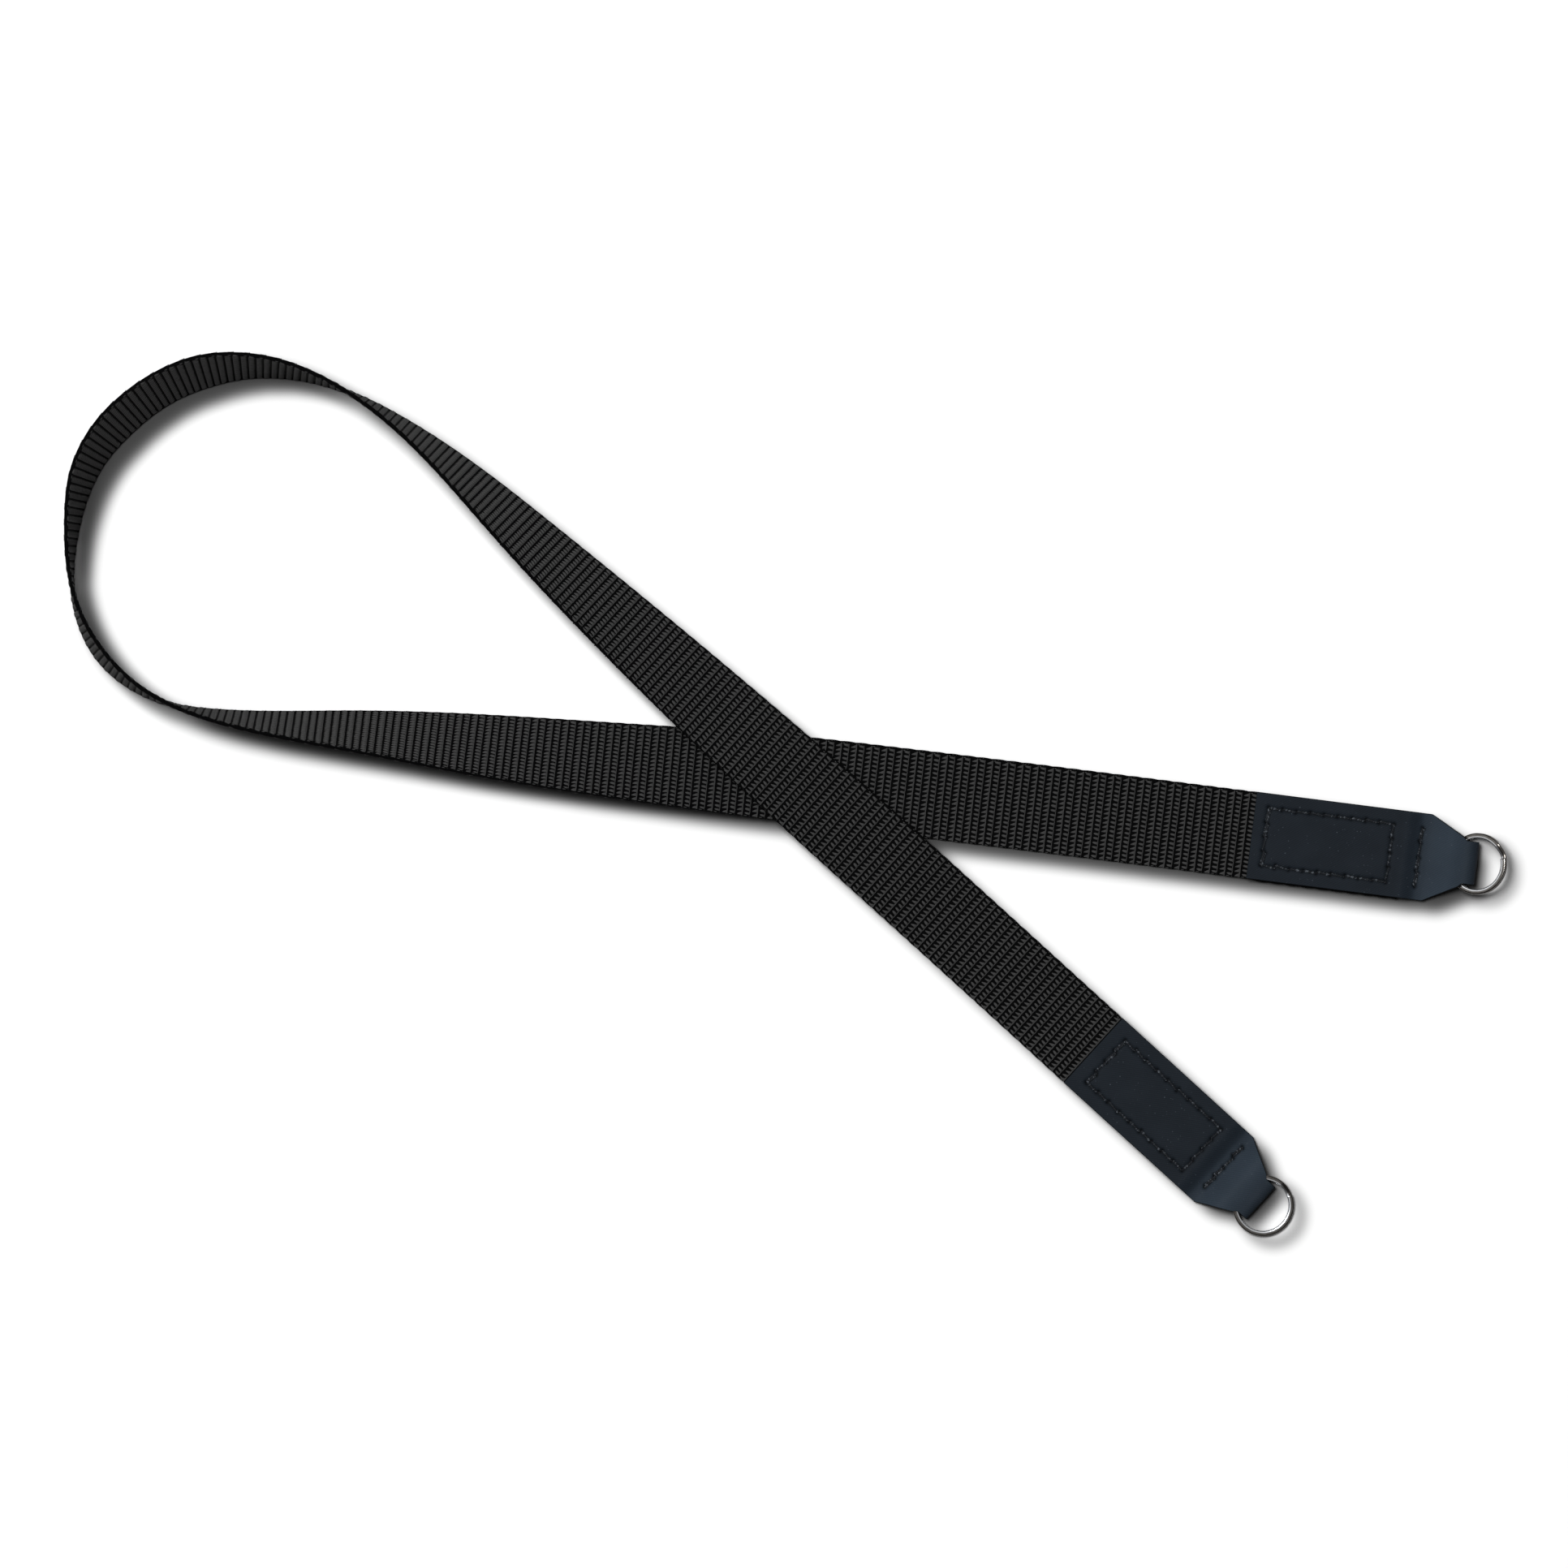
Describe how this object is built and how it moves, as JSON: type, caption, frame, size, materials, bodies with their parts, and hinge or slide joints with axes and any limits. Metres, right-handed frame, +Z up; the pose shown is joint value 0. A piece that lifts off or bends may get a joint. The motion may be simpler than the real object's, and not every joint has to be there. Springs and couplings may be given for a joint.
{
  "type": "camera strap",
  "caption": "Ribbed webbing neck strap laid in a loop that crosses over itself, with folded leatherette end tabs and split rings",
  "frame": {"origin": "on the surface the strap lies on, under the middle of its bounding box", "axes": "+X runs along the longest extent, from the loop towards the rings; +Y is to the left of that, up in the picture; +Z is up, away from the surface"},
  "size_m": [0.4188, 0.2566, 0.0254],
  "materials": {
    "webbing": "ribbed weave",
    "leatherette": "satin, stitched",
    "nickel": "polished"
  },
  "bodies": {
    "root": {"webbing": "webbing", "tab_a": "leatherette", "tab_b": "leatherette", "ring_a": "nickel", "ring_b": "nickel"}
  },
  "joints": []
}
